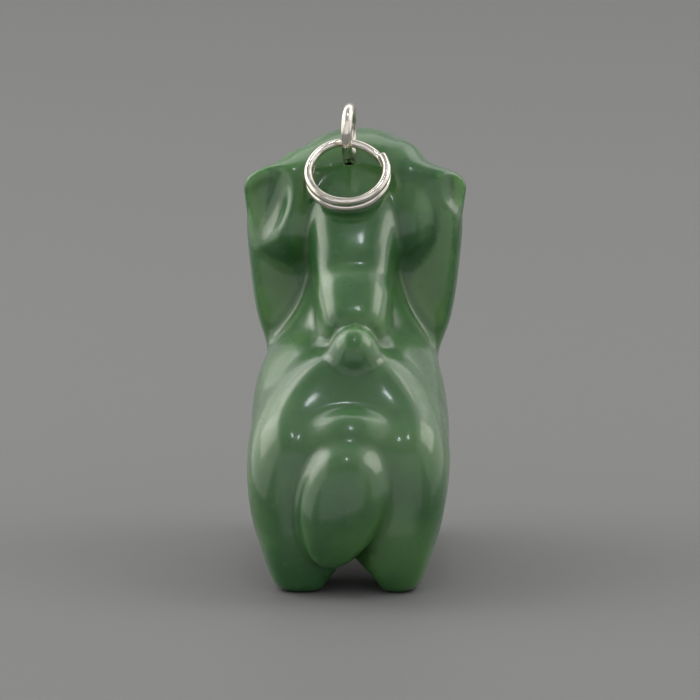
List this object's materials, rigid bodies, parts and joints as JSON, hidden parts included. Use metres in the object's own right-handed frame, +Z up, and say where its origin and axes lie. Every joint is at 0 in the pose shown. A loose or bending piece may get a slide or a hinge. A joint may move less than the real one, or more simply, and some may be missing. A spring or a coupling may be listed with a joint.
{
  "type": "jade animal pendant",
  "caption": "Small standing animal carved from green jade, with broad ear flaps and short legs, and a silver eye and split ring to hang it by.",
  "frame": {"origin": "centre of the bounding box of the whole pendant, at the level of the soles", "axes": "+Z up from the soles, +Y from the tail toward the head, +X toward the animal's right"},
  "size_m": [0.0178, 0.0372, 0.0358],
  "materials": {
    "jade": "polished green nephrite, slightly translucent",
    "silver": "polished sterling silver"
  },
  "bodies": {
    "figure": {"jade_figure": "jade", "eye_pin": "silver"},
    "ring": {"split_ring": "silver"}
  },
  "joints": [
    {"name": "ring_swing", "type": "hinge", "parent": "figure", "child": "ring", "pos_m": [-0.0005, 0.0074, 0.03256], "axis": [-0.9976, 0, -0.0698], "range_deg": [0, 212]}
  ]
}
